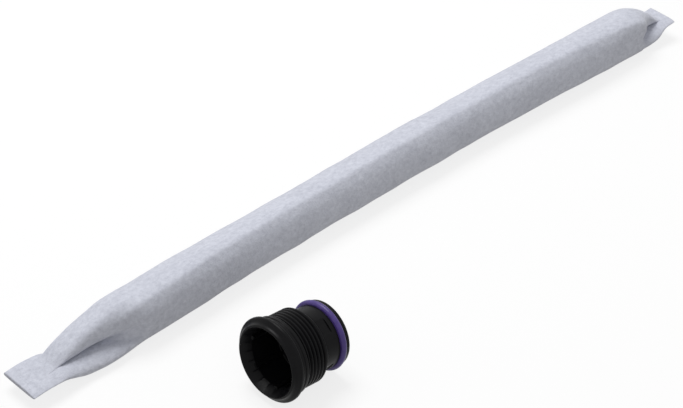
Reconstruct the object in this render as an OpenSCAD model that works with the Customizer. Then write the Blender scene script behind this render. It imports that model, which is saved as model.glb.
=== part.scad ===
// Drier set for a vehicle air conditioning accumulator: a felt sleeve filled with drying
// beads, and the threaded plug with its seal that closes the housing behind the sleeve.
// The sleeve lies along X with its wide tab at low X. The plug lies on its side in front
// of it, mouth towards low X. Everything rests on z = 0. Sizes are in millimetres.

/* [Felt sleeve] */
// Length over both sealed tabs
bag_length = 320; // [270:1:360]
// Thickness of the filled part
bag_d = 18.7; // [15:0.1:22]
// Sideways bow of the filled part
bag_bow = 1.9; // [0:0.1:6]
// Width of the strip the sleeve lies on
bag_foot_w = 4.5; // [2:0.1:7]
// How far the panels are turned about the length of the sleeve
bag_turn = 24; // [0:1:40]
// How far the soft panel edges stand out
edge_rise = 0.42; // [0:0.02:1]
// Thickness of a sealed tab
tab_t = 1.5; // [1:0.1:2.5]

/* [Sleeve ends] */
// Width of the wide tab
wide_tab_w = 17; // [13:0.1:20]
// Length of the wide tab
wide_tab_l = 12.5; // [8:0.5:20]
// Height of the wide tab's middle
wide_tab_z = 5.9; // [2:0.1:9]
// Length over which the wide end opens out
wide_taper = 36; // [25:1:45]
// Width of the narrow tab
slim_tab_w = 13.2; // [10:0.1:17]
// Length of the narrow tab
slim_tab_l = 4.5; // [3:0.5:10]
// Height of the narrow tab's middle
slim_tab_z = 7.4; // [4:0.1:14]
// Length over which the narrow end opens out
slim_taper = 18; // [12:1:28]
// How deep the side folds go in, as a share of the half width
fold_depth = 0.74; // [0.2:0.01:0.8]
// How far the roll on the wide end's front stands out, as a share of the half width
roll_out = 0.35; // [0.2:0.01:0.6]

/* [Plug body] */
// Diameter of the lip
lip_d = 30.6; // [28:0.1:36]
// Width of the lip along the axis
lip_w = 2; // [1.2:0.1:3]
// Major diameter of the thread
thread_d = 27; // [24:0.5:28]
// Length of the threaded part
thread_l = 9; // [6:0.1:14]
// Diameter of the rings behind the lip
collar_d = 28.5; // [27:0.1:30]
// Width of each ring and of the groove between them
collar_w = 1.2; // [0.8:0.1:1.6]
// Diameter of the neck behind the thread
neck_d = 22.6; // [20:0.1:24]
// Length of the neck up to the seal groove
neck_l = 6.6; // [4:0.1:9]
// Diameter of the end flange
flange_d = 23.8; // [21:0.1:24.4]
// Thickness of the end flange
flange_t = 1.7; // [1:0.1:3]
// Number of pockets around the neck
pocket_count = 4; // [2:1:5]
// Length of each pocket along the axis
pocket_l = 4; // [2:0.1:5]
// Width of each pocket
pocket_w = 5.4; // [3:0.1:7]
// Depth of each pocket
pocket_depth = 2.2; // [0.5:0.1:3]
// Turn of the first pocket about the axis
pocket_turn = 33; // [0:1:90]

/* [Plug mouth] */
// Diameter where the front face ends and the mouth begins
mouth_d = 25; // [23:0.1:26]
// Length over which the mouth narrows down to the cup
lead_l = 2.4; // [0.6:0.1:4]
// Inside diameter of the cup
cup_d = 22.8; // [20:0.1:23.5]
// Depth of the cup
cup_depth = 14; // [8:0.1:15]
// Number of drive ribs inside the cup
rib_count = 6; // [3:1:8]
// Height of each drive rib
rib_h = 1.2; // [0.6:0.1:2]
// Width of each drive rib
rib_w = 1.5; // [1:0.1:3]
// Turn of the first drive rib about the axis
rib_turn = 45; // [0:1:60]

/* [Seal ring] */
// Outside diameter of the seal ring
seal_d = 25.2; // [24.6:0.1:26]
// Thickness of the seal ring
seal_t = 2.4; // [1.8:0.1:2.6]
// Gap between the seal ring and its groove
seal_gap = 0.03; // [0.01:0.01:0.2]

/* [Layout] */
// Clear floor between the sleeve and the plug
plug_gap = 28.7; // [5:0.1:60]
// Distance of the plug's mouth from the wide end of the sleeve
plug_along = 60.8; // [10:0.1:200]
// Turn of the plug away from the line of the sleeve
plug_turn = 1; // [-10:0.5:10]

/* [Hidden] */
$fn = 96;
eps = 0.01;

// Sleeve: sections across its length, each one a list of
// [distance from the wide end, half width, half height, side shift, middle height,
//  squareness, fold depth, fold level, turn, edge rise, roll of the front side]
seg_around = 68;
body_a = bag_d * 0.515;
body_b = bag_d * 0.49;
// How far the round would sink below the floor to leave the strip it lies on
sink = body_b * (1 - sqrt(1 - pow(bag_foot_w / 2 / body_a, 2)));
body_z = body_b - sink;
full_near = wide_tab_l + wide_taper;
full_far = bag_length - slim_tab_l - slim_taper;
slim_root = bag_length - slim_tab_l;
span = full_far - full_near;

rows = [
    [0, wide_tab_w / 2, tab_t / 2, 1.4, wide_tab_z - 0.4, 5, 0, 0.97, 0, 0, 1],
    [wide_tab_l * 0.45, wide_tab_w / 2, tab_t / 2, 1.4, wide_tab_z, 5, 0, 0.96, 0, 0, 1],
    [wide_tab_l * 0.92, wide_tab_w * 0.495, tab_t * 0.85, 1.3, wide_tab_z + 0.1, 3.4,
     0.15, 0.72, 0, 0, 1],
    [wide_tab_l + wide_taper * 0.13, wide_tab_w * 0.49, body_b * 0.4, 1.2, body_z * 0.7, 2.7,
     fold_depth * 0.8, 0.2, -1, 0.2, 1],
    [wide_tab_l + wide_taper * 0.24, wide_tab_w * 0.5, body_b * 0.58, 1.1, body_z * 0.7, 2.8,
     fold_depth * 0.95, 0.1, -2, 0.3, 1],
    [wide_tab_l + wide_taper * 0.4, body_a * 0.91, body_b * 0.75, 1, body_z * 0.78, 2.8,
     fold_depth * 0.95, -0.05, -4, 0.6, 0.95],
    [wide_tab_l + wide_taper * 0.6, body_a * 0.95, body_b * 0.88, 0.9, body_z * 0.9, 2.5,
     fold_depth * 0.66, -0.22, -8, 0.9, 0.55],
    [wide_tab_l + wide_taper * 0.8, body_a * 0.99, body_b * 0.99, 0.9, body_z * 0.99, 2.3,
     fold_depth * 0.3, -0.4, -12, 1, 0.15],
    [full_near, body_a * 1.03, body_b * 1.02, 0.9, body_z * 1.02, 2.15,
     fold_depth * 0.04, -0.4, -15, 1, 0],
    [full_near + span * 0.08, body_a * 1.03, body_b * 1.02, 0.9 + bag_bow * 0.35, body_z * 1.02, 2.1,
     0, 0, -19, 1, 0],
    [full_near + span * 0.2, body_a, body_b, 0.9 + bag_bow * 0.75, body_z, 2.1, 0, 0, -bag_turn, 1, 0],
    [full_near + span * 0.35, body_a * 0.985, body_b * 0.98, 0.9 + bag_bow * 0.97, body_z * 0.98, 2.1,
     0, 0, -bag_turn, 1, 0],
    [full_near + span * 0.5, body_a, body_b, 0.9 + bag_bow, body_z, 2.1, 0, 0, -bag_turn, 1, 0],
    [full_near + span * 0.65, body_a * 0.99, body_b * 0.99, 0.8 + bag_bow * 0.9, body_z * 0.99, 2.1,
     0, 0, -bag_turn, 1, 0],
    [full_near + span * 0.8, body_a * 1.01, body_b * 1.01, 0.4 + bag_bow * 0.55, body_z * 1.01, 2.1,
     0, 0, -bag_turn, 1, 0],
    [full_near + span * 0.92, body_a * 1.02, body_b * 1.01, bag_bow * 0.2, body_z * 1.01, 2.1,
     0, 0, -18, 1, 0],
    [full_far, body_a, body_b * 0.99, 0, body_z * 0.99, 2.2, 0.04, 0.2, -10, 1, 0],
    [full_far + slim_taper * 0.25, body_a * 0.97, body_b * 0.92, -0.1, body_z * 0.96, 2.3,
     fold_depth * 0.45, 0.2, -6, 0.8, 0],
    [full_far + slim_taper * 0.5, body_a * 0.89, body_b * 0.75, -0.3, body_z * 0.92, 2.5,
     fold_depth * 0.9, 0.2, -3, 0.6, 0],
    [full_far + slim_taper * 0.75, slim_tab_w * 0.58, body_b * 0.5, -0.7, body_z * 0.87, 2.8,
     fold_depth * 0.9, 0.15, -1, 0.3, 0],
    [slim_root, slim_tab_w * 0.51, tab_t * 0.8, -1.1, slim_tab_z, 4, 0.15, 0.12, 0, 0, 0],
    [slim_root + slim_tab_l * 0.4, slim_tab_w / 2, tab_t / 2, -1.3, slim_tab_z, 5, 0, 0.12, 0, 0, 0],
    [bag_length, slim_tab_w / 2, tab_t / 2, -1.3, slim_tab_z + 0.2, 5, 0, 0.12, 0, 0, 0]
];

// Smooth curve through the rows: the value of every column at distance s
function row_at(s, i = 0) = i < len(rows) - 2 && s > rows[i + 1][0] ? row_at(s, i + 1) : i;
function slope(i, c) =
    i == 0 ? (rows[1][c] - rows[0][c]) / (rows[1][0] - rows[0][0])
    : i == len(rows) - 1 ? (rows[i][c] - rows[i - 1][c]) / (rows[i][0] - rows[i - 1][0])
    : let (l = (rows[i][c] - rows[i - 1][c]) / (rows[i][0] - rows[i - 1][0]),
           r = (rows[i + 1][c] - rows[i][c]) / (rows[i + 1][0] - rows[i][0]))
      l * r <= 0 ? 0 : 2 * l * r / (l + r);
function column(s, i, c) =
    let (h = rows[i + 1][0] - rows[i][0], u = (s - rows[i][0]) / h)
    rows[i][c] * (1 + 2 * u) * pow(1 - u, 2) + slope(i, c) * h * u * pow(1 - u, 2)
    + rows[i + 1][c] * u * u * (3 - 2 * u) + slope(i + 1, c) * h * u * u * (u - 1);
function turned(s) = let (i = row_at(s)) [for (c = [1:10]) column(s, i, c)];

// Distances from the wide end at which a section is drawn: close together at the ends
stops = concat(
    [for (k = [0:5]) wide_tab_l * k / 6],
    [for (k = [0:25]) wide_tab_l + wide_taper * k / 26],
    [for (k = [0:17]) full_near + span * k / 18],
    [for (k = [0:23]) full_far + slim_taper * k / 24],
    [for (k = [0:4]) slim_root + slim_tab_l * k / 4]
);

// Angles of the four soft panel edges in a section that isn't turned
edges = [38, 142, 218, 322];
function away(t, e) = let (d = abs(t - e)) min(d, 360 - d);
function rise(t, j = 0) = j < len(edges) ? exp(-pow(away(t, edges[j]) / 9, 2)) + rise(t, j + 1) : 0;
function power(v, n) = sign(v) * pow(abs(v), 2 / n);
function soft(u) = let (v = min(1, max(0, u))) v * v * (3 - 2 * v);

// The folded front side, from its middle: a round roll, set back, over a flap that stands
// out. Half is 0 at the top or bottom of the section and 1 at the crease between the two.
function rolled(t, a, b, level) =
    let (half = 1 - min(90, abs(t - 180)) / 90, crease = level * b, r = (b - crease) / 2,
         back = r - roll_out * a, drop = (1 + cos(180 * half)) / 2,
         reach = 1 - 0.5 * soft(r / 1.5))
    t < 180
        ? [back * soft(half / reach) - r * sin(180 * half), crease + 2 * r * drop]
        : [back * soft(half) - (0.95 * a + back / 2) * sin(180 * half),
           crease - (crease + b) * (1 - pow(1 - drop, 1.45))];

function section(s) =
    let (r = turned(s), a = r[0], b = r[1], n = r[4], fold = r[5], level = r[6], turn = r[7],
         lift = edge_rise * r[8])
    [for (k = [0:seg_around - 1])
        let (t = 360 * (k + 0.5) / seg_around,
             y0 = a * power(cos(t), n), z0 = b * power(sin(t), n),
             into = pow(max(0, 1 - abs(z0 / b - level) / 0.75), 1.6),
             g = 1 + lift * rise(t) / max(b, 3),
             in = sign(cos(t)) * a * fold * into * pow(abs(cos(t)), 0.5),
             m = cos(t) < 0 ? r[9] : 0, front = rolled(t, a, b, level),
             y1 = (y0 * g - in) * (1 - m) + front[0] * m,
             z1 = z0 * g * (1 - m) + front[1] * m,
             y = y1 * cos(turn) - z1 * sin(turn), z = y1 * sin(turn) + z1 * cos(turn))
        [s, r[2] + y, max(0, r[3] + z)]];

bag_sections = [for (s = stops) section(s)];
bag_points = [for (ring = bag_sections) each ring];
bag_y = [for (p = bag_points) p[1]];
last_ring = (len(stops) - 1) * seg_around;

// Plug: distances along its axis from the front face
collar_end = lip_w + 3 * collar_w;
undercut_end = collar_end + 0.9;
thread_end = undercut_end + thread_l;
groove_start = thread_end + neck_l;
groove_w = seal_t + 2 * seal_gap;
groove_end = groove_start + groove_w;
plug_length = groove_end + flange_t;
seal_x = (groove_start + groove_end) / 2;
seal_r = (seal_d - seal_t) / 2;
gland_r = seal_r - seal_t / 2 - seal_gap;
thread_depth = 0.92;
undercut_r = thread_d / 2 - thread_depth;
chamfer = 0.5;
face_chamfer = 0.4;

// The plug rests on its lip and its seal ring, so its axis leans down towards the seal
rest_dx = seal_x - lip_w;
rest_dr = seal_r - lip_d / 2;
plug_lean = -atan2(rest_dr, rest_dx) - asin(seal_t / 2 / norm([rest_dx, rest_dr]));
plug_z = lip_d / 2 * cos(plug_lean) + lip_w * sin(plug_lean);

// Place of everything: the middle of the whole set is at x = 0, y = 0
plug_y = min(bag_y) - plug_gap - lip_d / 2;
shift_x = -bag_length / 2;
shift_y = -(max(bag_y) + plug_y - lip_d / 2) / 2;

module desiccant_bag() {
    color([0.82, 0.84, 0.88])
        translate([shift_x, shift_y, 0])
            polyhedron(
                points = bag_points,
                faces = concat(
                    [[for (k = [0:seg_around - 1]) k]],
                    [for (i = [0:len(stops) - 2], k = [0:seg_around - 1])
                        let (p = i * seg_around, q = (k + 1) % seg_around)
                        [p + k, p + seg_around + q, p + q]],
                    [for (i = [0:len(stops) - 2], k = [0:seg_around - 1])
                        let (p = i * seg_around, q = (k + 1) % seg_around)
                        [p + k, p + seg_around + k, p + seg_around + q]],
                    [[for (k = [0:seg_around - 1]) last_ring + seg_around - 1 - k]]
                ));
}

// Turns what is drawn along Z so that it lies where the plug lies
module lay_plug() {
    translate([shift_x + plug_along, shift_y + plug_y, plug_z])
        rotate([0, 0, plug_turn])
            rotate([0, 90 + plug_lean, 0])
                children();
}

module outer_form() {
    lip_r = lip_d / 2;
    collar_r = collar_d / 2;
    thread_r = thread_d / 2;
    rotate_extrude()
        polygon([
            [0, 0], [lip_r - face_chamfer, 0], [lip_r, face_chamfer], [lip_r, lip_w],
            [collar_r, lip_w], [collar_r, lip_w + collar_w],
            [collar_r - 0.6, lip_w + collar_w], [collar_r - 0.6, lip_w + 2 * collar_w],
            [collar_r, lip_w + 2 * collar_w], [collar_r, collar_end],
            [undercut_r, collar_end], [undercut_r, undercut_end],
            [thread_r, undercut_end + chamfer], [thread_r, thread_end - chamfer],
            [thread_r - chamfer, thread_end], [neck_d / 2, thread_end],
            [neck_d / 2, groove_start], [gland_r, groove_start], [gland_r, groove_end],
            [flange_d / 2, groove_end], [flange_d / 2, plug_length - chamfer],
            [flange_d / 2 - chamfer, plug_length], [0, plug_length]
        ]);
}

module cup() {
    rotate_extrude()
        polygon([
            [0, -1], [mouth_d / 2, -1], [mouth_d / 2, 0], [cup_d / 2, lead_l],
            [cup_d / 2 - 0.4, cup_depth], [0, cup_depth]
        ]);
}

module ribs() {
    for (k = [0:rib_count - 1])
        rotate([0, 0, rib_turn + 360 * k / rib_count])
            translate([cup_d / 2 - rib_h, -rib_w / 2, lead_l * 0.75])
                cube([rib_h + 0.8, rib_w, cup_depth - lead_l * 0.75 + eps]);
}

module pockets() {
    for (k = [0:pocket_count - 1])
        rotate([0, 0, pocket_turn + 360 * k / pocket_count])
            translate([neck_d / 2 - pocket_depth, -pocket_w / 2, thread_end + 0.5])
                cube([pocket_depth + 1, pocket_w, pocket_l]);
}

module plug_body() {
    color([0.05, 0.05, 0.055])
        lay_plug()
            difference() {
                union() {
                    difference() {
                        outer_form();
                        cup();
                    }
                    ribs();
                }
                pockets();
            }
}

module o_ring() {
    color([0.3, 0.2, 0.55])
        lay_plug()
            translate([0, 0, seal_x])
                rotate_extrude()
                    translate([seal_r, 0])
                        circle(d = seal_t);
}

desiccant_bag();
plug_body();
o_ring();
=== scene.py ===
import logging
import math
from dataclasses import dataclass
from enum import Enum

import bpy
import numpy as np
from mathutils import Matrix, Vector


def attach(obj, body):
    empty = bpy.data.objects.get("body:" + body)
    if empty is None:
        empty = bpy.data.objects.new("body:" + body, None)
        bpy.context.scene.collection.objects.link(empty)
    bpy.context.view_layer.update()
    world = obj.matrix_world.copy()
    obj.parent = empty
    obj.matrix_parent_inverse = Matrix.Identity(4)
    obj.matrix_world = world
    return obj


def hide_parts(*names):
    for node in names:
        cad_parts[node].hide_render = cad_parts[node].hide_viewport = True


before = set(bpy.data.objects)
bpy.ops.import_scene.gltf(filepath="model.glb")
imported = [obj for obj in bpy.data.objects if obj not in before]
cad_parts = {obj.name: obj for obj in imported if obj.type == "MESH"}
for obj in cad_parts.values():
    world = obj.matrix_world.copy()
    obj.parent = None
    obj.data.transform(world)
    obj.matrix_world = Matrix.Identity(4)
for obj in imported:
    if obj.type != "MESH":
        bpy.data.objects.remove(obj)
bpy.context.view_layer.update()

MM = 0.001
LOG = logging.getLogger("drier_set")
BODY = "root"
NODE_GAP = 190
CORNER_REACH = 0.48
SUPPORT_GAP = 0.03
Colour = tuple[float, float, float, float]
Points = list[tuple[float, float]]
Socket = bpy.types.NodeSocket
Value = bpy.types.NodeSocket | float


class Slot(Enum):
    """The record's material slots."""

    FELT = "felt"
    PLASTIC = "plug_plastic"
    RUBBER = "seal_rubber"


class Edges(Enum):
    """How a mesh's edges are shaded: all soft, or crisp where faces meet at a wide angle."""

    SOFT = 180.0
    CRISP = 34.0


@dataclass(frozen=True)
class Layout:
    """Where the two things lie, in millimetres and degrees, as in the solids.

    The sleeve lies along X. The plug lies on its side in front of it and leans down
    towards its seal, because it rests on its lip and its seal ring.
    """

    sleeve_start_x: float = -160.0
    sleeve_line_y: float = 28.1131
    mouth_x: float = -99.2
    mouth_y: float = -25.4734
    mouth_z: float = 15.43
    plug_lean: float = 7.18912
    plug_turn: float = 1.0

    def plug_matrix(self) -> Matrix:
        """Returns the turn and place of the plug, whose own axis is +Z from its mouth."""
        return (
            Matrix.Translation(Vector((self.mouth_x, self.mouth_y, self.mouth_z)) * MM)
            @ Matrix.Rotation(math.radians(self.plug_turn), 4, "Z")
            @ Matrix.Rotation(math.radians(90 + self.plug_lean), 4, "Y")
        )


class NodeTree:
    """Adds nodes to a shader tree or a geometry tree, laid out from left to right."""

    def __init__(self, tree: bpy.types.NodeTree) -> None:
        """Keeps the tree and starts at its left side."""
        self.tree = tree
        self.column = 0

    def add(self, kind: str, inputs: dict | None = None, **settings: object) -> bpy.types.Node:
        """Adds one node.

        Args:
            kind: the node's Blender type.
            inputs: value or output socket for each input, by name or index.
            settings: the node's own properties.

        Returns:
            The new node.
        """
        node = self.tree.nodes.new(kind)
        node.location = (self.column * NODE_GAP, 0)
        self.column += 1
        for key, value in settings.items():
            setattr(node, key, value)
        for key, value in (inputs or {}).items():
            if isinstance(value, Socket):
                self.tree.links.new(value, node.inputs[key])
            else:
                node.inputs[key].default_value = value
        return node

    def maths(self, operation: str, *values: Value) -> Socket:
        """Returns the result of one maths node on numbers or sockets."""
        kind = "ShaderNodeMath"
        return self.add(kind, dict(enumerate(values)), operation=operation).outputs[0]


class Surface(NodeTree):
    """A material's tree: one Principled shader, with noise and bump built on real places."""

    def __init__(self, name: str, sockets: dict) -> None:
        """Makes the material.

        Args:
            name: the material's name.
            sockets: constant values for the Principled shader's own sockets.
        """
        self.material = bpy.data.materials.new(name)
        self.material.use_nodes = True
        super().__init__(self.material.node_tree)
        self.tree.nodes.clear()
        self.place = self.add("ShaderNodeTexCoord").outputs["Object"]
        self.shader = self.add("ShaderNodeBsdfPrincipled", sockets)
        self.add("ShaderNodeOutputMaterial", {"Surface": self.shader.outputs[0]})
        self.bumps: Socket | None = None

    def noise(self, size_mm: float, detail: float = 3.0, stretch: tuple = (1, 1, 1),
              turn: tuple = (0, 0, 0), roughness: float = 0.55) -> Socket:
        """Adds noise in the object's own space.

        Args:
            size_mm: size of its largest lumps.
            detail: number of finer layers.
            stretch: how much shorter the lumps are along each axis.
            turn: turn of the pattern, in degrees.
            roughness: strength of the finer layers.

        Returns:
            The noise from 0 to 1.
        """
        turned = self.add("ShaderNodeMapping", {
            "Vector": self.place, "Scale": stretch,
            "Rotation": tuple(math.radians(v) for v in turn)})
        return self.add("ShaderNodeTexNoise", {
            "Vector": turned.outputs[0], "Scale": 1.0 / (size_mm * MM),
            "Detail": detail, "Roughness": roughness}).outputs["Fac"]

    def ramp(self, factor: Socket, stops: list) -> Socket:
        """Adds a colour ramp.

        Args:
            factor: where on the ramp to read, from 0 to 1.
            stops: (place, colour) pairs.

        Returns:
            The colour at that place.
        """
        node = self.add("ShaderNodeValToRGB", {"Fac": factor})
        while len(node.color_ramp.elements) < len(stops):
            node.color_ramp.elements.new(0.5)
        for element, (place, colour) in zip(node.color_ramp.elements, stops):
            element.position, element.color = place, colour
        return node.outputs["Color"]

    def span(self, factor: Socket, low: float, high: float) -> Socket:
        """Returns the factor's range from 0.25 to 0.75 stretched to low and high."""
        return self.add("ShaderNodeMapRange", {
            "Value": factor, "From Min": 0.25, "From Max": 0.75,
            "To Min": low, "To Max": high}).outputs["Result"]

    def multiply(self, factor: float, one: Socket, other: Socket) -> Socket:
        """Returns the first colour, multiplied by the second as far as the factor says."""
        return self.add("ShaderNodeMix", {0: factor, 6: one, 7: other},
                        data_type="RGBA", blend_type="MULTIPLY").outputs[2]

    def bump(self, height: Socket, depth_mm: float, strength: float) -> None:
        """Adds relief over what relief there is.

        Args:
            height: the relief, from 0 to 1.
            depth_mm: its depth.
            strength: how much of it shows.
        """
        inputs = {"Height": height, "Distance": depth_mm * MM, "Strength": strength}
        if self.bumps is not None:
            inputs["Normal"] = self.bumps
        self.bumps = self.add("ShaderNodeBump", inputs).outputs[0]

    def finish(self, **sockets: Socket) -> bpy.types.Material:
        """Links what varies to the shader.

        Args:
            sockets: a socket for each input, whose name has underscores for its spaces.

        Returns:
            The finished material.
        """
        for key, value in sockets.items():
            self.tree.links.new(value, self.shader.inputs[key.replace("_", " ")])
        if self.bumps is not None:
            self.tree.links.new(self.bumps, self.shader.inputs["Normal"])
        return self.material


@dataclass(frozen=True)
class FeltFinish:
    """Bluish white needled felt: short crossed fibres, soft blotches and a faint cross rib."""

    light: Colour = (0.775, 0.797, 0.885, 1)
    shade: Colour = (0.52, 0.537, 0.615, 1)
    speck_dark: Colour = (0.80, 0.80, 0.82, 1)
    speck_light: Colour = (1, 1, 1, 1)
    speck_share: float = 0.8
    fibre_mm: float = 0.5
    fibre_depth: float = 0.12
    rib_mm: float = 1.05
    rib_depth: float = 0.035
    rib_wander: float = 9.0
    blotch_mm: float = 1.5
    blotch_depth: float = 0.3
    blotch_share: float = 0.8
    cloud_mm: float = 9.0
    cloud_share: float = 0.2

    def material(self) -> bpy.types.Material:
        """Mixes the felt's material, whose cross ribs follow the sleeve's own map.

        Returns:
            The material.
        """
        s = Surface("felt", {
            "Roughness": 0.93, "Sheen Weight": 0.18, "Sheen Roughness": 0.5,
            "Specular IOR Level": 0.2})
        cloud = s.noise(self.cloud_mm, 2.0, (0.6, 1, 1))
        blotch = s.noise(self.blotch_mm, 4.0, (0.8, 1, 1), (10, 20, 30), 0.68)
        one = s.noise(self.fibre_mm, 3.0, (0.35, 2.6, 2.6), (0, 24, 32), 0.7)
        other = s.noise(self.fibre_mm, 3.0, (0.35, 2.6, 2.6), (18, -30, -38), 0.7)
        pile = s.maths("MULTIPLY", s.maths("ADD", one, other), 0.5)
        along = s.add("ShaderNodeSeparateXYZ", {
            "Vector": s.add("ShaderNodeUVMap", uv_map="sleeve").outputs[0]}).outputs[0]
        wander = s.maths("MULTIPLY", s.noise(5.0, 3.0), self.rib_wander)
        wave = s.maths("SINE", s.maths(
            "ADD", s.maths("MULTIPLY", along, 2000 * math.pi / self.rib_mm), wander))
        rib = s.maths("MULTIPLY", s.maths("MULTIPLY_ADD", wave, 0.5, 0.5), s.noise(6.0, 2.0))
        mixed = s.maths("MULTIPLY_ADD", s.span(cloud, 0, 1), self.cloud_share,
                        s.maths("MULTIPLY", s.span(blotch, 0, 1), self.blotch_share))
        body = s.ramp(mixed, [(0.0, self.shade), (1.0, self.light)])
        speck = s.ramp(s.span(pile, 0, 1), [(0.0, self.speck_dark), (0.7, self.speck_light)])
        colour = s.multiply(self.speck_share, body, speck)
        s.bump(rib, self.rib_depth, 0.5)
        s.bump(blotch, self.blotch_depth, 0.7)
        s.bump(pile, self.fibre_depth, 0.8)
        return s.finish(Base_Color=colour)


@dataclass(frozen=True)
class PlasticFinish:
    """Black moulded plastic with a soft sheen and a fine spark-eroded grain."""

    base: Colour = (0.0035, 0.0035, 0.0042, 1)
    worn: Colour = (0.0065, 0.0065, 0.0074, 1)
    grain_mm: float = 0.22
    grain_depth: float = 0.012
    sink_mm: float = 2.4
    sink_depth: float = 0.03

    def material(self) -> bpy.types.Material:
        """Mixes the plastic's material.

        Returns:
            The material.
        """
        s = Surface("plug_plastic", {"Specular IOR Level": 0.095})
        grain = s.noise(self.grain_mm, 2.0)
        flow = s.noise(6.0, 3.0, (1, 1, 2.2))
        colour = s.ramp(s.span(flow, 0, 1), [(0.0, self.base), (1.0, self.worn)])
        s.bump(grain, self.grain_depth, 0.55)
        s.bump(s.noise(self.sink_mm, 2.0), self.sink_depth, 0.25)
        return s.finish(Base_Color=colour, Roughness=s.span(flow, 0.27, 0.37))


@dataclass(frozen=True)
class RubberFinish:
    """Violet rubber, semi-matt, with faint bloom."""

    base: Colour = (0.053, 0.031, 0.175, 1)
    bloom: Colour = (0.090, 0.056, 0.255, 1)
    grain_mm: float = 0.35
    grain_depth: float = 0.01

    def material(self) -> bpy.types.Material:
        """Mixes the rubber's material.

        Returns:
            The material.
        """
        s = Surface("seal_rubber", {"Specular IOR Level": 0.3, "Sheen Weight": 0.03})
        bloom = s.noise(3.0, 4.0)
        colour = s.ramp(s.span(bloom, 0, 1), [(0.0, self.base), (1.0, self.bloom)])
        s.bump(s.noise(self.grain_mm, 2.0), self.grain_depth, 0.4)
        return s.finish(Base_Color=colour, Roughness=s.span(bloom, 0.3, 0.42))


def make_piece(name: str, verts: np.ndarray, faces: list, material: bpy.types.Material,
               edges: Edges = Edges.SOFT) -> bpy.types.Object:
    """Makes a mesh object at the origin.

    Args:
        name: the piece's name.
        verts: its points in metres, in the row's frame.
        faces: lists of point numbers, seen anticlockwise from outside.
        material: its finish.
        edges: how its edges are shaded.

    Returns:
        The new object, linked to the scene.
    """
    mesh = bpy.data.meshes.new(name)
    mesh.from_pydata([tuple(v) for v in verts], [], faces)
    mesh.materials.append(material)
    shade(mesh, edges)
    mesh.update()
    piece = bpy.data.objects.new(name, mesh)
    bpy.context.scene.collection.objects.link(piece)
    return piece


def shade(mesh: bpy.types.Mesh, edges: Edges) -> None:
    """Shades a mesh smooth.

    Args:
        mesh: the mesh.
        edges: whether wide angles are kept crisp.
    """
    mesh.polygons.foreach_set("use_smooth", [True] * len(mesh.polygons))
    if edges is Edges.CRISP:
        mesh.set_sharp_from_angle(angle=math.radians(edges.value))


def seat(piece: bpy.types.Object, slot: Slot, *nodes: str) -> None:
    """Sets what a finished piece rides on, and hides the solids that it stands for.

    Args:
        piece: the finished piece.
        slot: its material slot; not used.
        nodes: names of the solids that it replaces.
    """
    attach(piece, BODY)
    if nodes:
        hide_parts(*nodes)
    LOG.info("%s: %d faces", piece.name, len(piece.data.polygons))


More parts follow.
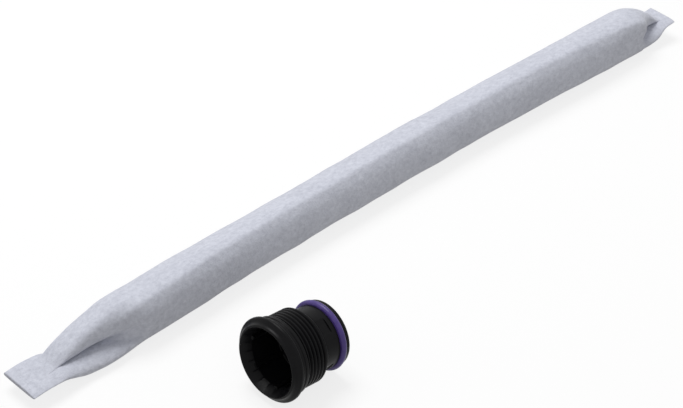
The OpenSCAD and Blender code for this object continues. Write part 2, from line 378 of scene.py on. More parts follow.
@dataclass
class FeltSleeve:
    """The bead-filled sleeve: a soft four-sided tube, folded in and sealed flat at both ends.

    Sizes are in millimetres; half_width and half_height are shares of the thickness.
    The shape is a run of sections across the length, whose values follow one smooth
    curve each, as in the solid, with finer sections and deeper folds here.
    """

    layout: Layout
    length: float = 320.0
    thickness: float = 18.7
    half_width: float = 0.492
    half_height: float = 0.468
    bow: float = 1.9
    foot_w: float = 4.5
    panel_turn: float = 24.0
    edge_rise: float = 0.3
    edge_turns: tuple[int, ...] = (43, 137, 223, 317)
    edge_spread: float = 12.0
    tab_t: float = 1.5
    wide_w: float = 17.0
    wide_l: float = 12.5
    wide_z: float = 5.9
    wide_taper: float = 36.0
    slim_w: float = 13.2
    slim_l: float = 4.5
    slim_z: float = 7.4
    slim_taper: float = 18.0
    fold: float = 0.74
    fold_reach: float = 0.75
    fold_ease: float = 1.6
    roll_out: float = 0.35
    flap_out: float = 0.95
    flap_ease: float = 1.45
    seed: int = 7
    waves: int = 42
    wave_short: float = 9.0
    wave_long: float = 46.0
    wave_depth: float = 0.026
    fade_wide: float = 14.0
    fade_slim: float = 10.0
    groove_depth: float = 0.5
    layer_bulge: float = 0.06
    end_points: int = 62
    girth: float = 60.0
    around: int = 176

    def rows(self) -> np.ndarray:
        """Lays out the sections that shape the sleeve.

        Returns:
            One row per section: distance, half width, half height, side shift, middle
            height, squareness, fold depth, fold level, turn, edge rise and roll.
        """
        a, b = self.thickness * self.half_width, self.thickness * self.half_height
        z = b * (math.sqrt(1 - (self.foot_w / 2 / a) ** 2) + 0.05)
        t, w, v = self.tab_t, self.wide_w, self.slim_w
        bow, turn, f = self.bow, self.panel_turn, self.fold
        near = self.wide_l + self.wide_taper
        far = self.length - self.slim_l - self.slim_taper
        root, span = self.length - self.slim_l, far - near
        wide, slim = self.wide_taper, self.slim_taper
        return np.array([
            [0, w / 2, t / 2, 1.4, self.wide_z - 0.4, 5, 0, 0.97, 0, 0, 1],
            [self.wide_l * 0.45, w / 2, t / 2, 1.4, self.wide_z, 5, 0, 0.96, 0, 0, 1],
            [self.wide_l * 0.92, w * 0.495, t * 0.85, 1.3, self.wide_z + 0.1,
             3.4, 0.15, 0.72, 0, 0, 1],
            [self.wide_l + wide * 0.13, w * 0.49, b * 0.42, 1.2, z * 0.7,
             2.7, f * 0.8, 0.2, -1, 0.2, 1],
            [self.wide_l + wide * 0.24, w * 0.5, b * 0.61, 1.1, z * 0.7,
             2.8, f * 0.95, 0.1, -2, 0.3, 1],
            [self.wide_l + wide * 0.4, a * 0.953, b * 0.785, 1, z * 0.78,
             2.8, f * 0.95, -0.05, -4, 0.6, 0.95],
            [self.wide_l + wide * 0.6, a * 0.98, b * 0.91, 0.9, z * 0.9,
             2.6, f * 0.78, -0.24, -8, 0.9, 0.7],
            [self.wide_l + wide * 0.8, a * 1.01, b * 1.01, 0.9, z * 0.99,
             2.6, f * 0.48, -0.44, -12, 1, 0.3],
            [near, a * 1.03, b * 1.02, 0.9, z * 1.02, 2.6, f * 0.08, -0.5, -15, 1, 0],
            [near + span * 0.08, a * 1.03, b * 1.02, 0.9 + bow * 0.35, z * 1.02,
             2.6, 0, 0, -19, 1, 0],
            [near + span * 0.2, a, b, 0.9 + bow * 0.75, z, 2.6, 0, 0, -turn, 1, 0],
            [near + span * 0.35, a * 0.985, b * 0.98, 0.9 + bow * 0.97, z * 0.98,
             2.6, 0, 0, -turn, 1, 0],
            [near + span * 0.5, a, b, 0.9 + bow, z, 2.6, 0, 0, -turn, 1, 0],
            [near + span * 0.65, a * 0.99, b * 0.99, 0.8 + bow * 0.9, z * 0.99,
             2.6, 0, 0, -turn, 1, 0],
            [near + span * 0.8, a * 1.01, b * 1.01, 0.4 + bow * 0.55, z * 1.01,
             2.6, 0, 0, -turn, 1, 0],
            [near + span * 0.92, a * 1.02, b * 1.01, bow * 0.2, z * 1.01, 2.6, 0, 0, -18, 1, 0],
            [far, a, b * 0.99, 0, z * 0.99, 2.6, 0.04, 0.2, -10, 1, 0],
            [far + slim * 0.25, a, b * 0.95, -0.1, z * 0.96, 2.6, f * 0.38, -0.3, -6, 0.8, 0.1],
            [far + slim * 0.5, a * 0.925, b * 0.785, -0.3, z * 0.92,
             2.65, f * 0.8, -0.2, -3, 0.6, 0.6],
            [far + slim * 0.75, v * 0.58, b * 0.523, -0.7, z * 0.87,
             2.8, f * 0.9, -0.15, -1, 0.3, 1],
            [root, v * 0.51, t * 0.8, -1.1, self.slim_z, 4, 0.15, 0.4, 0, 0, 1],
            [root + self.slim_l * 0.4, v / 2, t / 2, -1.3, self.slim_z, 5, 0, 0.96, 0, 0, 1],
            [self.length, v / 2, t / 2, -1.3, self.slim_z + 0.2, 5, 0, 0.97, 0, 0, 1],
        ])

    def columns(self, s: np.ndarray) -> np.ndarray:
        """Follows the rows with a smooth curve that never overshoots.

        Args:
            s: distances from the wide end.

        Returns:
            The ten values of the section at each distance.
        """
        rows = self.rows()
        x, v = rows[:, 0], rows[:, 1:]
        step = np.diff(x)[:, None]
        rate = np.diff(v, axis=0) / step
        slope = np.vstack([rate[:1], np.zeros_like(rate[1:]), rate[-1:]])
        one, two = rate[:-1], rate[1:]
        same = one * two > 0
        slope[1:-1][same] = (2 * one * two)[same] / (one + two)[same]
        i = np.clip(np.searchsorted(x, s, side="left") - 1, 0, len(x) - 2)
        h = step[i]
        u = ((s - x[i]) / h[:, 0])[:, None]
        return (v[i] * (1 + 2 * u) * (1 - u) ** 2 + slope[i] * h * u * (1 - u) ** 2
                + v[i + 1] * u * u * (3 - 2 * u) + slope[i + 1] * h * u * u * (u - 1))

    def stations(self) -> np.ndarray:
        """Spreads the sections along the sleeve, close together at its ends.

        Returns:
            The distances at which a section is drawn.
        """
        near = self.wide_l + self.wide_taper
        far = self.length - self.slim_l - self.slim_taper
        return np.concatenate([
            np.linspace(0, self.wide_l, 26, endpoint=False),
            np.linspace(self.wide_l, near, 120, endpoint=False),
            np.linspace(near, far, 186, endpoint=False),
            np.linspace(far, self.length - self.slim_l, 76, endpoint=False),
            np.linspace(self.length - self.slim_l, self.length, 12)])

    def rolled(self, t: np.ndarray, a: np.ndarray, b: np.ndarray,
               level: np.ndarray) -> tuple[np.ndarray, np.ndarray]:
        """Draws the folded front side: a round roll, set back, over a flap that stands out.

        Args:
            t: angles around the section, in degrees.
            a: half widths.
            b: half heights.
            level: height of the crease between the two, as a share of the half height.

        Returns:
            The points across the sleeve and up, from the section's middle.
        """
        def soft(u: np.ndarray) -> np.ndarray:
            """Returns a soft step from 0 to 1."""
            u = np.clip(u, 0, 1)
            return u * u * (3 - 2 * u)

        half = 1 - np.minimum(90, np.abs(t - 180)) / 90
        crease = level * b
        r = (b - crease) / 2
        back = r - self.roll_out * a
        wave, drop = np.sin(np.pi * half), (1 + np.cos(np.pi * half)) / 2
        flap = back * soft(half) - (self.flap_out * a + back / 2) * wave
        reach = 1 - 0.5 * soft(r / 1.5)
        across = np.where(t < 180, back * soft(half / reach) - r * wave, flap)
        under = crease - (crease + b) * (1 - (1 - drop) ** self.flap_ease)
        return across, np.where(t < 180, crease + 2 * r * drop, under)

    def sections(self, s: np.ndarray) -> np.ndarray:
        """Draws every section.

        Args:
            s: distances from the wide end.

        Returns:
            Points as an array of section, place around it, and (x, y, z) in millimetres.
        """
        def power(v: np.ndarray, n: np.ndarray) -> np.ndarray:
            """Returns v to the power 2/n with its sign kept."""
            return np.sign(v) * np.abs(v) ** (2 / n)

        a, b, y, z, n, fold, level, turn, rise, roll = (c[:, None] for c in self.columns(s).T)
        t = 360 * (np.arange(self.around) + 0.5) / self.around
        cos, sin = np.cos(np.radians(t)), np.sin(np.radians(t))
        y0, z0 = a * power(cos, n), b * power(sin, n)
        into = np.maximum(0, 1 - np.abs(z0 / b - level) / self.fold_reach) ** self.fold_ease
        edge = np.zeros_like(t)
        for place in self.edge_turns:
            away = np.abs(t - place)
            edge += np.exp(-(np.minimum(away, 360 - away) / self.edge_spread) ** 2)
        grow = 1 + self.edge_rise * rise * edge / np.maximum(b, 3)
        across, up = self.rolled(t, a, b, level)
        k = np.where(cos < 0, roll, 0)
        y1 = y0 * grow - np.sign(cos) * a * fold * into * np.abs(cos) ** 0.5
        y1 = y1 * (1 - k) + across * k
        z1 = z0 * grow * (1 - k) + up * k
        q = np.radians(turn)
        py = y + y1 * np.cos(q) - z1 * np.sin(q)
        pz = np.maximum(0, z + y1 * np.sin(q) + z1 * np.cos(q))
        return np.stack([np.broadcast_to(s[:, None], py.shape), py, pz], axis=2)

    def slack(self, points: np.ndarray, s: np.ndarray) -> np.ndarray:
        """Adds the soft unevenness of felt over beads, which fades out towards the tabs.

        Args:
            points: the smooth sections.
            s: their distances from the wide end.

        Returns:
            The uneven sections, which stay above the floor.
        """
        rng = np.random.default_rng(self.seed)
        t = 2 * np.pi * (np.arange(self.around) + 0.5) / self.around
        relief = np.zeros(points.shape[:2])
        for _ in range(self.waves):
            wave, turns = rng.uniform(self.wave_short, self.wave_long), rng.integers(0, 7)
            phase, bent = rng.uniform(0, 2 * np.pi, 2)
            strength = self.wave_depth * (wave / 20) ** 0.5 / (1 + turns * 0.25)
            lean = np.sin(turns * t + bent)[None, :] if turns else 1.0
            relief += strength * np.sin(2 * np.pi * s / wave + phase)[:, None] * lean
        root = self.length - self.slim_l
        full = (np.clip((s - self.wide_l) / self.fade_wide, 0, 1)
                * np.clip((root - s) / self.fade_slim, 0, 1))
        middle = points.mean(axis=1, keepdims=True)
        out = points - middle
        out[:, :, 0] = 0
        out /= np.maximum(np.linalg.norm(out, axis=2, keepdims=True), 1e-6)
        moved = points + out * (relief * full[:, None])[:, :, None]
        moved[:, :, 2] = np.maximum(moved[:, :, 2], 0)
        return moved

    def cut_end(self, ring: np.ndarray, first: int, total: int,
                inward: float) -> tuple[list, list]:
        """Closes a tab's cut end with two felt layers and the fine groove between them.

        Args:
            ring: the end section's points.
            first: number of the ring's first point.
            total: number of points made so far.
            inward: 1 where the sleeve lies at higher X, -1 where it lies at lower X.

        Returns:
            The new points and the new faces.
        """
        n = self.around
        back, tip = int(np.argmax(ring[:, 1])), int(np.argmin(ring[:, 1]))
        upper = [(back + k) % n for k in range((tip - back) % n + 1)]
        lower = [(back - k) % n for k in range((back - tip) % n + 1)]
        u = np.linspace(0, 1, self.end_points)[1:-1]
        across = ring[back, 1] + (ring[tip, 1] - ring[back, 1]) * u
        high, low = (np.interp(-across, -ring[side, 1], ring[side, 2]) for side in (upper, lower))
        place = {first + k: ring[k, 1] for k in range(n)}
        rows, verts = [[first + k for k in upper]], []
        for j in (1, 2, 3):
            most = self.groove_depth if j == 2 else -self.layer_bulge
            deep = most * np.sin(np.pi * u) ** 0.3
            numbers = [total + len(verts) + k for k in range(len(u))]
            place.update(zip(numbers, across))
            verts += list(np.stack([ring[0, 0] + inward * deep, across,
                                    high + (low - high) * j / 4], axis=1))
            rows.append([first + back, *numbers, first + tip])
        rows.append([first + k for k in lower])
        faces = []
        for one, two in zip(rows, rows[1:]):
            i = j = 0
            while i < len(one) - 1 or j < len(two) - 1:
                on = j == len(two) - 1 or (
                    i < len(one) - 1 and place[one[i + 1]] >= place[two[j + 1]])
                face = [one[i], two[j], one[i + 1] if on else two[j + 1]]
                i, j = (i + 1, j) if on else (i, j + 1)
                if len(set(face)) == 3:
                    faces.append(face if inward > 0 else face[::-1])
        return verts, faces

    def build(self, finish: FeltFinish) -> bpy.types.Object:
        """Makes the sleeve with its map.

        Args:
            finish: the felt.

        Returns:
            The finished piece.
        """
        s = self.stations()
        points = self.slack(self.sections(s), s)
        verts = [p for ring in points for p in ring]
        n, faces, spots = self.around, [], []
        for i in range(len(s) - 1):
            for k in range(n):
                q = (k + 1) % n
                faces.append([i * n + k, i * n + q, (i + 1) * n + q, (i + 1) * n + k])
                spots.append((i, k))
        body_faces = len(faces)
        for ring, first, inward in ((points[0], 0, 1.0), (points[-1], (len(s) - 1) * n, -1.0)):
            extra, loops = self.cut_end(ring, first, len(verts), inward)
            verts += extra
            faces += loops
        shift = np.array([self.layout.sleeve_start_x, self.layout.sleeve_line_y, 0])
        piece = make_piece("felt_sleeve", (np.array(verts) + shift) * MM, faces, finish.material())
        step = self.girth / n
        layer = piece.data.uv_layers.new(name="sleeve").data
        for polygon in piece.data.polygons:
            for loop in polygon.loop_indices:
                vertex = piece.data.loops[loop].vertex_index
                i, k = divmod(vertex, n)
                if polygon.index < body_faces:
                    wrap = n if k == 0 and spots[polygon.index][1] == n - 1 else k
                    layer[loop].uv = (s[i] * MM, wrap * step * MM)
                else:
                    place = piece.data.vertices[vertex].co
                    layer[loop].uv = (place.x - self.layout.sleeve_start_x * MM, place.y)
        seat(piece, Slot.FELT, "desiccant_bag")
        return piece


@dataclass
class PlugBody:
    """The screw plug's moulded body without its thread and ribs, turned about its axis.

    Sizes are in millimetres. A profile point is (distance from the mouth, radius).
    """

    layout: Layout
    nose_l: float = 1.1
    mouth_d: float = 24.9
    lead_start: float = 0.2
    lead_d: float = 23.6
    lead_end: float = 2.7
    cup_d: float = 21.5
    cup_depth: float = 14.0
    lip_d: float = 30.2
    lip_w: float = 2.1
    lip_front: float = 0.9
    collar_d: float = 28.0
    collar_end: float = 5.5
    collar_groove: float = 0.25
    thread_d: float = 26.8
    thread_depth: float = 0.8
    thread_end: float = 15.7
    neck_d: float = 22.6
    groove_start: float = 22.1
    groove_end: float = 24.56
    gland_r: float = 10.17
    flange_d: float = 23.7
    end: float = 26.1
    facets: int = 20
    facet_turn: float = 16.0
    pocket_count: int = 4
    pocket_turn: float = 33.0
    pocket_w: float = 5.4
    pocket_l: float = 4.0
    pocket_depth: float = 0.45
    pocket_gap: float = 0.5
    near: float = 0.001
    around: int = 240

    @staticmethod
    def rounded(corners: list) -> Points:
        """Rounds a profile's corners.

        Args:
            corners: (distance, radius, corner radius) of each corner, in order.

        Returns:
            The points, with a close support point on each side of a rounded corner.
        """
        out: Points = []
        for i, (s, r, radius) in enumerate(corners):
            if not radius or i in (0, len(corners) - 1):
                out.append((s, r))
                continue
            here = Vector((s, r))
            back = Vector(corners[i - 1][:2]) - here
            on = Vector(corners[i + 1][:2]) - here
            reach = min(radius, back.length * CORNER_REACH, on.length * CORNER_REACH)
            one, two = here + back.normalized() * reach, here + on.normalized() * reach
            out.append(tuple(one + back.normalized() * SUPPORT_GAP))
            for u in (0.0, 0.25, 0.5, 0.75, 1.0):
                out.append(tuple(one * (1 - u) ** 2 + here * (2 * u * (1 - u)) + two * u ** 2))
            out.append(tuple(two + on.normalized() * SUPPORT_GAP))
        return out

    def profile(self) -> Points:
        """Draws the profile, from the cup's floor round to the middle of the back.

        Returns:
            Its points.
        """
        lip, collar, neck, flange = (
            d / 2 for d in (self.lip_d, self.collar_d, self.neck_d, self.flange_d))
        cup, mouth, root = self.cup_d / 2, self.mouth_d / 2, self.thread_d / 2 - self.thread_depth
        far, low, ring = self.thread_end, collar - self.collar_groove, self.collar_end
        pocket = far + self.pocket_gap
        pocket_end = pocket + self.pocket_l
        return self.rounded([
            (self.cup_depth, 0.0, 0), (self.cup_depth, cup - 0.4, 0.5),
            (self.lead_end + 0.02, cup, 0), (self.lead_end, cup + 0.02, 0),
            (self.lead_start, self.lead_d / 2, 0), (0.1 - self.nose_l, mouth, 0.1),
            (-self.nose_l, mouth + 0.15, 0.1), (0.15 - self.nose_l, mouth + 0.65, 0.3),
            (0.15, mouth + 1.15, 0.5), (self.lip_front, lip, 0.5),
            (self.lip_w, lip, 0.3), (self.lip_w, collar, 0.15), (self.lip_w + 0.8, collar, 0.25),
            (self.lip_w + 0.95, low, 0.15), (ring - 1.35, low, 0.15),
            (ring - 1.2, collar, 0.25), (ring, collar, 0.35),
            (ring + 0.1, root, 0.15), (far - 0.55, root, 0.1), (far, root - 0.5, 0.1),
            (far, neck, 0.25), (pocket - 0.05, neck, 0), (pocket + 0.05, neck, 0),
            (pocket_end - 0.05, neck, 0), (pocket_end + 0.05, neck, 0),
            (self.groove_start, neck, 0.15), (self.groove_start, self.gland_r, 0.1),
            (self.groove_end, self.gland_r, 0.1), (self.groove_end, flange, 0.2),
            (self.end, flange, 0.5), (self.end, 0.0, 0)])

    def faceted(self, s: float, r: float) -> bool:
        """Returns whether a profile point lies on the faceted lead-in of the mouth."""
        within = self.lead_start <= s <= self.lead_end + self.near
        return within and r <= self.lead_d / 2 + self.near

    def radius(self, s: float, r: float, turn: float) -> float:
        """Works out the radius at one place, which the facets and the pockets change.

        Args:
            s: distance from the mouth.
            r: the profile's radius there.
            turn: angle around the plug, in degrees.

        Returns:
            The radius.
        """
        if self.faceted(s, r):
            step = 360 / self.facets
            off = (180 - turn - self.facet_turn) % step - step / 2
            return r * math.cos(math.radians(step / 2)) / math.cos(math.radians(off))
        start = self.thread_end + self.pocket_gap
        if start + 0.04 < s < start + self.pocket_l - 0.04 and r > self.neck_d / 2 - 0.01:
            step = 360 / self.pocket_count
            off = (turn - self.pocket_turn + step / 2) % step - step / 2
            if abs(off) < math.degrees(math.asin(self.pocket_w / self.neck_d)):
                return (r - self.pocket_depth) / math.cos(math.radians(off))
        return r

    def build(self, material: bpy.types.Material) -> bpy.types.Object:
        """Makes the body.

        Args:
            material: the plastic.

        Returns:
            The finished piece.
        """
        rows = self.profile()
        verts, rings, faces = [], [], []
        for s, r in rows:
            if not r:
                rings.append([len(verts)])
                verts.append((0.0, 0.0, s))
                continue
            rings.append(list(range(len(verts), len(verts) + self.around)))
            for k in range(self.around):
                turn = 360 * k / self.around
                here = self.radius(s, r, turn)
                angle = math.radians(turn)
                verts.append((here * math.cos(angle), here * math.sin(angle), s))
        for one, two in zip(rings, rings[1:]):
            for k in range(self.around):
                q = (k + 1) % self.around
                loop = [one[k % len(one)], one[q % len(one)], two[q % len(two)], two[k % len(two)]]
                faces.append(list(dict.fromkeys(loop)))
        matrix = self.layout.plug_matrix()
        placed = np.array([matrix @ (Vector(v) * MM) for v in verts])
        piece = make_piece("plug_body_shell", placed, faces, material, Edges.CRISP)
        self.sharpen_facets(piece.data, rings, rows)
        seat(piece, Slot.PLASTIC, "plug_body")
        return piece

    def sharpen_facets(self, mesh: bpy.types.Mesh, rings: list, rows: Points) -> None:
        """Marks the lines between the facets of the lead-in as crisp.

        Args:
            mesh: the body's mesh.
            rings: the point numbers of each ring.
            rows: the profile point of each ring.
        """
        step = self.around // self.facets
        offset = round((180 - self.facet_turn) / 360 * self.around) % step
        corners = set()
        for ring, (s, r) in zip(rings, rows):
            if self.faceted(s, r):
                corners |= {ring[k] for k in range(offset, self.around, step)}
        sharp = mesh.attributes["sharp_edge"].data
        for edge in mesh.edges:
            if edge.vertices[0] in corners and edge.vertices[1] in corners:
                sharp[edge.index].value = True


class GeometryPiece(NodeTree):
    """A mesh made by a geometry tree with named inputs, then turned into a plain mesh."""

    def __init__(self, name: str, material: bpy.types.Material) -> None:
        """Starts an empty tree.

        Args:
            name: the piece's name.
            material: what its result carries.
        """
        self.name = name
        self.material = material
        super().__init__(bpy.data.node_groups.new(name, "GeometryNodeTree"))
        self.tree.interface.new_socket(
            "Geometry", in_out="OUTPUT", socket_type="NodeSocketGeometry")
        self.values: dict[str, float] = {}

    def inputs(self, **values: float) -> dict[str, Socket]:
        """Args:
            values: each input's value; a whole number makes a whole-number input.

        Returns:
            The sockets inside the tree, by name.
        """
        for key, value in values.items():
            kind = "NodeSocketInt" if isinstance(value, int) else "NodeSocketFloat"
            item = self.tree.interface.new_socket(key, in_out="INPUT", socket_type=kind)
            self.values[item.identifier] = value
        source = self.add("NodeGroupInput")
        return {key: source.outputs[key] for key in values}

    def vector(self, x: Value = 0.0, y: Value = 0.0, z: Value = 0.0) -> Socket:
        """Returns a vector made of numbers or sockets."""
        return self.add("ShaderNodeCombineXYZ", {0: x, 1: y, 2: z}).outputs[0]

    def bake(self, geometry: Socket, matrix: Matrix) -> bpy.types.Object:
        """Ends the tree, evaluates it once and keeps the result as a plain mesh.

        Args:
            geometry: the tree's last geometry.
            matrix: place and turn of the piece in the row's frame.

        Returns:
            The piece at the origin, with its place in its mesh.
        """
        real = self.add("GeometryNodeRealizeInstances", {0: geometry})
        dressed = self.add("GeometryNodeSetMaterial", {
            "Geometry": real.outputs[0], "Material": self.material})
        self.add("NodeGroupOutput", {0: dressed.outputs[0]})
        seed = bpy.data.meshes.new(self.name + "_seed")
        holder = bpy.data.objects.new(self.name + "_tree", seed)
        bpy.context.scene.collection.objects.link(holder)
        modifier = holder.modifiers.new("tree", "NODES")
        modifier.node_group = self.tree
        for identifier, value in self.values.items():
            modifier[identifier] = value
        holder.update_tag()
        graph = bpy.context.evaluated_depsgraph_get()
        mesh = bpy.data.meshes.new_from_object(holder.evaluated_get(graph))
        holder.modifiers.remove(modifier)
        bpy.data.objects.remove(holder)
        mesh.name = self.name
        mesh.transform(matrix)
        mesh.materials.clear()
        mesh.materials.append(self.material)
        mesh.polygons.foreach_set("material_index", [0] * len(mesh.polygons))
        piece = bpy.data.objects.new(self.name, mesh)
        bpy.context.scene.collection.objects.link(piece)
        return piece


@dataclass
class ScrewThread:
    """The fine thread: one ridge that runs round the plug in a helix. Millimetres."""

    layout: Layout
    core_r: float = 12.58
    height: float = 0.78
    pitch: float = 1.5
    start: float = 6.0
    turns: float = 6.2
    crest_w: float = 0.35
    root_w: float = 1.42
    run_out: float = 22.0
    least: float = 0.05
    steps: int = 96

    def build(self, material: bpy.types.Material) -> bpy.types.Object:
        """Makes the ridge with a geometry tree, thin at both ends.

        It grows to its full size over the first 1 / run_out of its length.

        Args:
            material: the plastic.

        Returns:
            The finished piece.
        """
        g = GeometryPiece("plug_thread", material)
        i = g.inputs(Core_Radius=self.core_r * MM, Ridge_Height=self.height * MM,
                     Pitch=self.pitch * MM, Start=self.start * MM, Turns=self.turns,
                     Crest_Width=self.crest_w * MM, Root_Width=self.root_w * MM,
                     Steps_Per_Turn=self.steps)
        spiral = g.add("GeometryNodeCurveSpiral", {
            "Resolution": i["Steps_Per_Turn"], "Rotations": i["Turns"],
            "Start Radius": i["Core_Radius"], "End Radius": i["Core_Radius"],
            "Height": g.maths("MULTIPLY", i["Pitch"], i["Turns"])})
        upright = g.add("GeometryNodeSetCurveNormal", {"Curve": spiral.outputs[0]}, mode="Z_UP")
        half_root = g.maths("MULTIPLY", i["Root_Width"], 0.5)
        half_crest = g.maths("MULTIPLY", i["Crest_Width"], 0.5)
        inward = g.maths("MULTIPLY", i["Ridge_Height"], -1.0)
        section = g.add("GeometryNodeCurvePrimitiveQuadrilateral", {
            "Point 1": g.vector(0.0, half_root),
            "Point 2": g.vector(inward, half_crest),
            "Point 3": g.vector(inward, g.maths("MULTIPLY", half_crest, -1.0)),
            "Point 4": g.vector(0.0, g.maths("MULTIPLY", half_root, -1.0))}, mode="POINTS")
        factor = g.add("GeometryNodeSplineParameter").outputs["Factor"]
        ends = g.maths("MINIMUM", g.maths("MULTIPLY", factor, self.run_out),
                       g.maths("MULTIPLY", g.maths("SUBTRACT", 1.0, factor), self.run_out))
        size = g.maths("MAXIMUM", g.maths("MINIMUM", ends, 1.0), self.least)
        swept = g.add("GeometryNodeCurveToMesh", {
            "Curve": upright.outputs[0], "Profile Curve": section.outputs[0],
            "Scale": size, "Fill Caps": True})
        moved = g.add("GeometryNodeTransform", {
            "Geometry": swept.outputs[0], "Translation": g.vector(0.0, 0.0, i["Start"])})
        piece = g.bake(moved.outputs[0], self.layout.plug_matrix())
        shade(piece.data, Edges.CRISP)
        seat(piece, Slot.PLASTIC)
        return piece


@dataclass
class DriveRibs:
    """The ribs inside the cup that the tool turns. Millimetres and degrees."""

    layout: Layout
    count: int = 6
    first_turn: float = 45.0
    cup_r: float = 10.75
    height: float = 0.8
    width: float = 1.5
    round_r: float = 0.3
    rooted: float = 0.7
    start: float = 2.0
    end: float = 14.05

    def build(self, material: bpy.types.Material) -> bpy.types.Object:
        """Makes the ribs with a geometry tree, rooted a little in the wall of the cup.

        Args:
            material: the plastic.

        Returns:
            All the ribs, as one finished piece.
        """
        g = GeometryPiece("drive_ribs", material)
        i = g.inputs(Count=self.count, First_Turn=math.radians(self.first_turn),
                     Cup_Radius=self.cup_r * MM, Rib_Height=self.height * MM,
                     Rib_Width=self.width * MM, Edge_Radius=self.round_r * MM,
                     Start=self.start * MM, End=self.end * MM)
        deep = g.maths("ADD", i["Rib_Height"], self.rooted * MM)
        section = g.add("GeometryNodeCurvePrimitiveQuadrilateral", {
            "Width": deep, "Height": i["Rib_Width"]}, mode="RECTANGLE")
        soft = g.add("GeometryNodeFilletCurve", {
            "Curve": section.outputs[0], "Count": 4, "Radius": i["Edge_Radius"]}, mode="POLY")
        run = g.add("GeometryNodeCurvePrimitiveLine", {
            "Start": g.vector(0.0, 0.0, i["Start"]), "End": g.vector(0.0, 0.0, i["End"])})
        rib = g.add("GeometryNodeCurveToMesh", {
            "Curve": run.outputs[0], "Profile Curve": soft.outputs[0], "Fill Caps": True})
        middle = g.maths("SUBTRACT", i["Cup_Radius"], g.maths("SUBTRACT", i["Rib_Height"],
                                                              g.maths("MULTIPLY", deep, 0.5)))
        outward = g.add("GeometryNodeTransform", {
            "Geometry": rib.outputs[0], "Translation": g.vector(middle, 0.0, 0.0)})
        hub = g.add("GeometryNodePoints", {"Count": i["Count"]})
        number = g.add("GeometryNodeInputIndex").outputs[0]
        step = g.maths("DIVIDE", 2 * math.pi, i["Count"])
        turn = g.maths("ADD", g.maths("MULTIPLY", number, step), i["First_Turn"])
        spread = g.add("GeometryNodeInstanceOnPoints", {
            "Points": hub.outputs[0], "Instance": outward.outputs[0],
            "Rotation": g.vector(0.0, 0.0, turn)})
        piece = g.bake(spread.outputs[0], self.layout.plug_matrix())
        shade(piece.data, Edges.CRISP)
        seat(piece, Slot.PLASTIC)
        return piece


@dataclass
class SealRing:
    """The round-section seal ring in its groove. Millimetres."""

    layout: Layout
    place: float = 23.33
    ring_r: float = 11.4
    thickness: float = 2.4
    flash: float = 0.008
    around: int = 180
    across: int = 28

    def build(self, finish: RubberFinish) -> bpy.types.Object:
        """Makes the ring with the faint flash line of its mould.

        Args:
            finish: the rubber.

        Returns:
            The finished piece.
        """
        verts, faces = [], []
        for i in range(self.around):
            u = 2 * math.pi * i / self.around
            for j in range(self.across):
                v = 2 * math.pi * j / self.across
                r = self.thickness / 2 + (0.0 if j % (self.across // 2) else self.flash)
                out = self.ring_r + r * math.cos(v)
                verts.append((out * math.cos(u), out * math.sin(u), self.place + r * math.sin(v)))
                a, b = (i + 1) % self.around, (j + 1) % self.across
                faces.append([i * self.across + j, a * self.across + j,
                              a * self.across + b, i * self.across + b])
        matrix = self.layout.plug_matrix()
        placed = np.array([matrix @ (Vector(v) * MM) for v in verts])
        piece = make_piece("seal_ring", placed, faces, finish.material())
        seat(piece, Slot.RUBBER, "o_ring")
        return piece


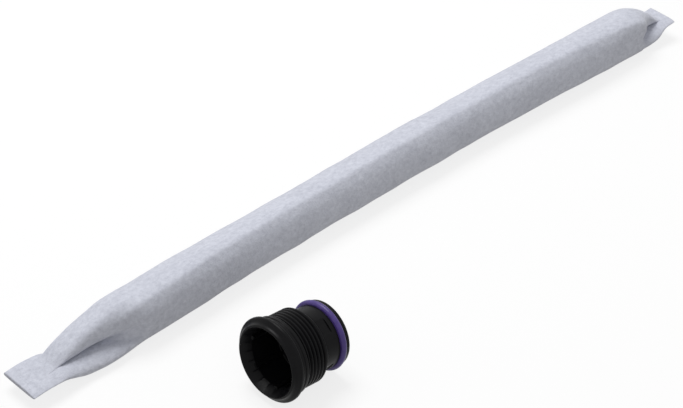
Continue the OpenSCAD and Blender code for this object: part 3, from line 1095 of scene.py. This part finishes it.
@dataclass
class Studio:
    """Floor, light and camera. The camera stands as in the photograph.

    Lengths are in metres, apart from the lens and where the name says mm.
    """

    azimuth: float = -43.0168
    elevation: float = 38.5
    distance_mm: float = 800.0
    lens: float = 117.0
    look_at_mm: tuple = (-19.7, 24.5131, 9.0)
    near_clip: float = 0.05
    far_clip: float = 50.0
    lamp_place: tuple = (0.03, 0.37, 0.93)
    lamp_size: float = 0.5
    lamp_watts: float = 6.4
    floor_size: float = 12.0
    floor_drop: float = 0.0002
    floor_colour: Colour = (0.62, 0.61, 0.585, 1)
    seen_colour: Colour = (1.0, 1.0, 1.0, 1)
    whiten: float = 0.8
    sky: float = 0.42

    @staticmethod
    def shown_white(tree: NodeTree) -> Socket:
        """Tells what is seen apart from what only lights the object.

        Args:
            tree: the material's or the world's tree.

        Returns:
            1 for rays from the camera and for mirrored or refracted ones, otherwise 0.
        """
        path = tree.add("ShaderNodeLightPath")
        seen = tree.maths("MAXIMUM", path.outputs["Is Camera Ray"], path.outputs["Is Glossy Ray"])
        return tree.maths("MAXIMUM", seen, path.outputs["Is Transmission Ray"])

    def floor(self) -> None:
        """Lays the pale floor, which looks white but keeps the shadow."""
        h = self.floor_size / 2
        mesh = bpy.data.meshes.new("floor")
        mesh.from_pydata([(-h, -h, 0), (h, -h, 0), (h, h, 0), (-h, h, 0)], [], [(0, 1, 2, 3)])
        material = bpy.data.materials.new("floor_white")
        material.use_nodes = True
        tree = NodeTree(material.node_tree)
        tree.tree.nodes.clear()
        seen = self.shown_white(tree)
        tone = tree.add("ShaderNodeMix", {0: seen, 6: self.floor_colour, 7: self.seen_colour},
                        data_type="RGBA")
        matt = tree.add("ShaderNodeBsdfDiffuse", {"Color": tone.outputs[2]})
        white = tree.add("ShaderNodeEmission", {"Color": (1, 1, 1, 1), "Strength": 1.0})
        part = tree.maths("MULTIPLY", seen, self.whiten)
        mixed = tree.add("ShaderNodeMixShader", {
            0: part, 1: matt.outputs[0], 2: white.outputs[0]})
        tree.add("ShaderNodeOutputMaterial", {"Surface": mixed.outputs[0]})
        mesh.materials.append(material)
        floor = bpy.data.objects.new("floor", mesh)
        floor.location.z = -self.floor_drop
        bpy.context.scene.collection.objects.link(floor)

    def world(self) -> None:
        """Sets a dim even sky that the camera sees as white."""
        world = bpy.data.worlds.new("studio")
        world.use_nodes = True
        tree = NodeTree(world.node_tree)
        tree.tree.nodes.clear()
        seen = self.shown_white(tree)
        strength = tree.maths("MULTIPLY_ADD", seen, 1.0 - self.sky, self.sky)
        back = tree.add("ShaderNodeBackground", {"Color": (1, 1, 1, 1), "Strength": strength})
        tree.add("ShaderNodeOutputWorld", {"Surface": back.outputs[0]})
        bpy.context.scene.world = world

    def lamp(self) -> None:
        """Hangs the square soft light, which points at the middle of the set."""
        data = bpy.data.lights.new("overhead", "AREA")
        data.shape, data.size, data.energy = "SQUARE", self.lamp_size, self.lamp_watts
        lamp = bpy.data.objects.new("overhead", data)
        lamp.location = self.lamp_place
        lamp.rotation_mode = "QUATERNION"
        lamp.rotation_quaternion = (-Vector(self.lamp_place)).to_track_quat("-Z", "Y")
        bpy.context.scene.collection.objects.link(lamp)

    def camera(self) -> None:
        """Stands the camera at the photograph's view."""
        a, e = math.radians(self.azimuth), math.radians(self.elevation)
        back = Vector((math.sin(a) * math.cos(e), -math.cos(a) * math.cos(e), math.sin(e)))
        data = bpy.data.cameras.new("camera")
        data.sensor_width, data.lens = 36.0, self.lens
        data.clip_start, data.clip_end = self.near_clip, self.far_clip
        camera = bpy.data.objects.new("camera", data)
        camera.location = Vector(self.look_at_mm) * MM + back * self.distance_mm * MM
        camera.rotation_mode = "QUATERNION"
        camera.rotation_quaternion = (-back).to_track_quat("-Z", "Y")
        bpy.context.scene.collection.objects.link(camera)
        bpy.context.scene.camera = camera

    def build(self) -> None:
        """Sets up the whole studio."""
        self.camera()
        self.floor()
        self.world()
        self.lamp()
        bpy.context.scene.view_settings.view_transform = "Standard"


def main() -> None:
    """Builds the set, piece by piece, and the studio round it."""
    logging.basicConfig(level=logging.INFO, format="%(message)s")
    layout = Layout()
    plastic = PlasticFinish().material()
    Studio().build()
    FeltSleeve(layout).build(FeltFinish())
    PlugBody(layout).build(plastic)
    ScrewThread(layout).build(plastic)
    DriveRibs(layout).build(plastic)
    SealRing(layout).build(RubberFinish())


if __name__ == "__main__":
    main()
